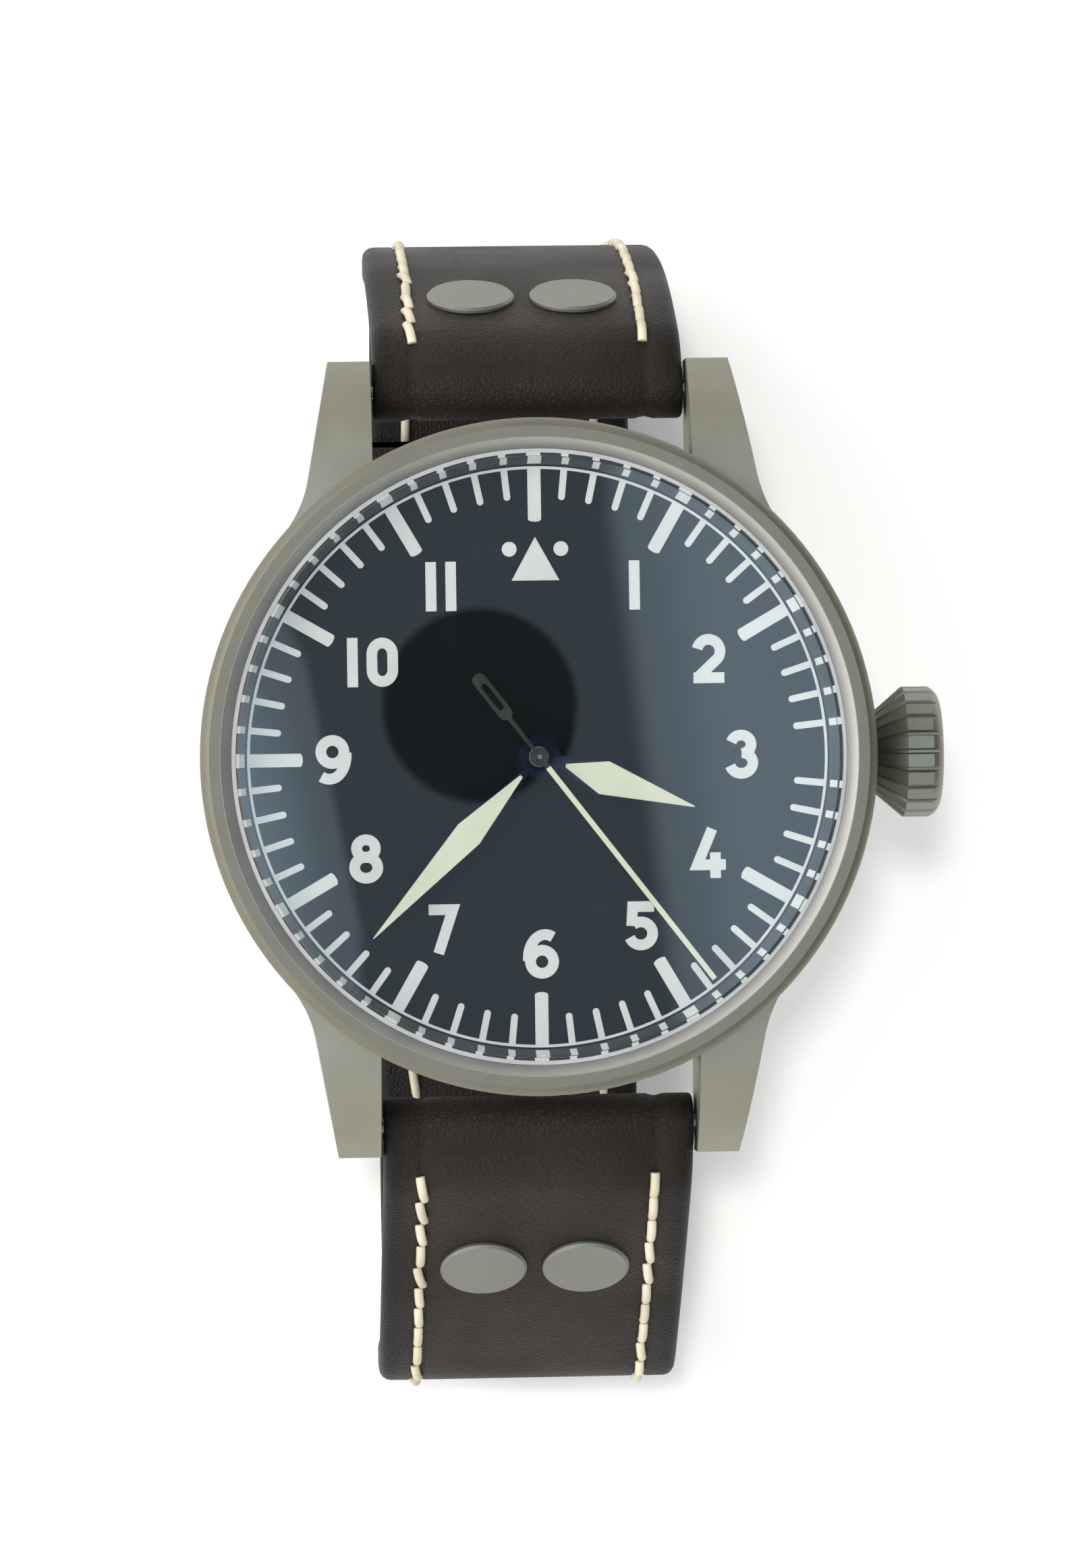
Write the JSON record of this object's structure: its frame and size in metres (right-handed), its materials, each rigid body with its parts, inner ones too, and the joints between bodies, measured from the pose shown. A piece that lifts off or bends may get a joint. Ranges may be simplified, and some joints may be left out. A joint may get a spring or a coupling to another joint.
{
  "type": "pilot watch",
  "caption": "Pilot watch on its closed leather strap: fluted cone crown, three hands, full movement, sprung strap bars, keepers and pin buckle.",
  "frame": {"origin": "centre of the case back's outer face", "axes": "+Z along the hands' axis towards the crystal, +Y towards 12 o'clock, +X towards the crown"},
  "size_m": [0.0464, 0.0765, 0.0558],
  "materials": {
    "blasted_steel": "matte blasted",
    "polished_steel": "polished",
    "plated_steel": "fine satin",
    "bar_steel": "satin",
    "wheel_brass": "satin",
    "rotor_metal": "satin",
    "crystal_glass": "clear",
    "gasket": "matt",
    "flange": "semi gloss",
    "dial_paint": "matt",
    "hand_paint": "matt infill",
    "rivet_metal": "matte",
    "strap_leather": "oiled"
  },
  "bodies": {
    "watch": {"case_body": "blasted_steel", "bezel": "blasted_steel", "crystal": "crystal_glass", "crystal_gasket": "gasket", "dial_flange": "flange", "dial": "dial_paint", "case_back": "blasted_steel", "case_back_gasket": "gasket", "movement_ring": "plated_steel", "case_clamps": "plated_steel", "main_plate": "plated_steel", "barrel_bridge": "plated_steel", "train_bridge": "plated_steel", "pallet_bridge": "plated_steel", "balance_cock": "plated_steel", "bridge_screws": "polished_steel", "barrel_arbor": "polished_steel", "ratchet_wheel": "polished_steel", "click": "polished_steel", "rotor_bearing": "polished_steel", "hairspring": "polished_steel", "crown_tube": "polished_steel", "strap_12": "strap_leather", "strap_6": "strap_leather", "strap_rivets": "rivet_metal", "fixed_keeper": "strap_leather", "strap_bar_12": "bar_steel", "strap_bar_6": "bar_steel", "buckle_bar": "bar_steel"},
    "seconds": {"fourth_wheel": "wheel_brass", "seconds_hand": "hand_paint"},
    "third": {"third_wheel": "wheel_brass"},
    "minute": {"centre_wheel": "wheel_brass", "cannon_pinion": "polished_steel", "minute_hand": "hand_paint"},
    "hour": {"hour_wheel": "wheel_brass", "hour_hand": "hand_paint"},
    "minute_work": {"minute_wheel": "wheel_brass"},
    "setting": {"setting_wheel": "wheel_brass"},
    "barrel_body": {"barrel": "wheel_brass", "mainspring": "polished_steel", "barrel_cover": "wheel_brass"},
    "escape": {"escape_wheel": "wheel_brass"},
    "fork": {"pallet_fork": "polished_steel"},
    "balance": {"balance_wheel": "wheel_brass"},
    "rotor_body": {"rotor": "rotor_metal"},
    "winding": {"sliding_pinion": "polished_steel", "winding_pinion": "polished_steel"},
    "crown_body": {"crown": "blasted_steel", "stem": "polished_steel", "crown_gasket": "gasket"},
    "keeper_body": {"free_keeper": "strap_leather"},
    "frame_body": {"buckle_frame": "blasted_steel"},
    "tongue_body": {"buckle_tongue": "blasted_steel"},
    "strap_bar_12_tip_left_body": {"strap_bar_12_tip_left": "bar_steel"},
    "strap_bar_12_tip_right_body": {"strap_bar_12_tip_right": "bar_steel"},
    "strap_bar_6_tip_left_body": {"strap_bar_6_tip_left": "bar_steel"},
    "strap_bar_6_tip_right_body": {"strap_bar_6_tip_right": "bar_steel"},
    "buckle_bar_tip_left_body": {"buckle_bar_tip_left": "bar_steel"},
    "buckle_bar_tip_right_body": {"buckle_bar_tip_right": "bar_steel"}
  },
  "joints": [
    {"name": "seconds_turn", "type": "hinge", "parent": "watch", "child": "seconds", "pos_m": [0, 0, 0.0081], "axis": [0, 0, -1], "continuous": true},
    {"name": "third_turn", "type": "hinge", "parent": "watch", "child": "third", "pos_m": [0.00258, -0.00369, 0.0056], "axis": [0, 0, -1], "continuous": true},
    {"name": "minute_turn", "type": "hinge", "parent": "watch", "child": "minute", "pos_m": [0, 0, 0.0071], "axis": [0, 0, -1], "continuous": true},
    {"name": "barrel_turn", "type": "hinge", "parent": "watch", "child": "barrel_body", "pos_m": [0.00158, 0.00588, 0.0056], "axis": [0, 0, -1], "continuous": true},
    {"name": "minute_wheel_turn", "type": "hinge", "parent": "watch", "child": "minute_work", "pos_m": [0.00293, 0.00107, 0.0076], "axis": [0, 0, -1], "continuous": true},
    {"name": "hour_turn", "type": "hinge", "parent": "watch", "child": "hour", "pos_m": [0, 0, 0.0083], "axis": [0, 0, -1], "continuous": true},
    {"name": "setting_turn", "type": "hinge", "parent": "watch", "child": "setting", "pos_m": [0.00644, 0.00107, 0.0076], "axis": [0, 0, -1], "continuous": true},
    {"name": "escape_turn", "type": "hinge", "parent": "watch", "child": "escape", "pos_m": [-0.00423, -0.00154, 0.0056], "axis": [0, 0, -1], "continuous": true},
    {"name": "fork_swing", "type": "hinge", "parent": "watch", "child": "fork", "pos_m": [-0.00423, -0.00444, 0.0057], "axis": [0, 0, -1], "range_deg": [-5, 5]},
    {"name": "balance_swing", "type": "hinge", "parent": "watch", "child": "balance", "pos_m": [-0.00423, -0.00704, 0.0052], "axis": [0, 0, -1], "range_deg": [-270, 270]},
    {"name": "rotor_turn", "type": "hinge", "parent": "watch", "child": "rotor_body", "pos_m": [0, 0, 0.0026], "axis": [0, 0, -1], "continuous": true},
    {"name": "crown_turn", "type": "hinge", "parent": "watch", "child": "winding", "pos_m": [0.01, 0, 0.0061], "axis": [1, 0, 0], "continuous": true},
    {"name": "crown_pull", "type": "slide", "parent": "winding", "child": "crown_body", "axis": [1, 0, 0], "range_m": [0, 0.0015]},
    {"name": "free_keeper_slide", "type": "slide", "parent": "watch", "child": "keeper_body", "axis": [0, 1, 0], "range_m": [-0.001, 0.0009]},
    {"name": "buckle_swing", "type": "hinge", "parent": "watch", "child": "frame_body", "pos_m": [0, 0.01, -0.0379], "axis": [1, 0, 0], "range_deg": [0, 3]},
    {"name": "tongue_lift", "type": "hinge", "parent": "frame_body", "child": "tongue_body", "pos_m": [0, 0.01, -0.0379], "axis": [1, 0, 0], "range_deg": [0, 4]},
    {"name": "strap_bar_12_press_left", "type": "slide", "parent": "watch", "child": "strap_bar_12_tip_left_body", "axis": [1, 0, 0], "range_m": [0, 0.001], "stiffness_N_per_m": 400, "springref_m": -0.001},
    {"name": "strap_bar_12_press_right", "type": "slide", "parent": "watch", "child": "strap_bar_12_tip_right_body", "axis": [-1, 0, 0], "range_m": [0, 0.001], "stiffness_N_per_m": 400, "springref_m": -0.001},
    {"name": "strap_bar_6_press_left", "type": "slide", "parent": "watch", "child": "strap_bar_6_tip_left_body", "axis": [1, 0, 0], "range_m": [0, 0.001], "stiffness_N_per_m": 400, "springref_m": -0.001},
    {"name": "strap_bar_6_press_right", "type": "slide", "parent": "watch", "child": "strap_bar_6_tip_right_body", "axis": [-1, 0, 0], "range_m": [0, 0.001], "stiffness_N_per_m": 400, "springref_m": -0.001},
    {"name": "buckle_bar_press_left", "type": "slide", "parent": "watch", "child": "buckle_bar_tip_left_body", "axis": [1, 0, 0], "range_m": [0, 0.001], "stiffness_N_per_m": 400, "springref_m": -0.001},
    {"name": "buckle_bar_press_right", "type": "slide", "parent": "watch", "child": "buckle_bar_tip_right_body", "axis": [-1, 0, 0], "range_m": [0, 0.001], "stiffness_N_per_m": 400, "springref_m": -0.001}
  ],
  "couplings": [
    {"joint": "third_turn", "follows": "seconds_turn", "ratio": -0.13333},
    {"joint": "minute_turn", "follows": "seconds_turn", "ratio": 0.016667},
    {"joint": "barrel_turn", "follows": "seconds_turn", "ratio": -0.0027778},
    {"joint": "minute_wheel_turn", "follows": "seconds_turn", "ratio": -0.0055556},
    {"joint": "hour_turn", "follows": "seconds_turn", "ratio": 0.0013889},
    {"joint": "setting_turn", "follows": "seconds_turn", "ratio": 0.011111},
    {"joint": "escape_turn", "follows": "seconds_turn", "ratio": -12}
  ]
}
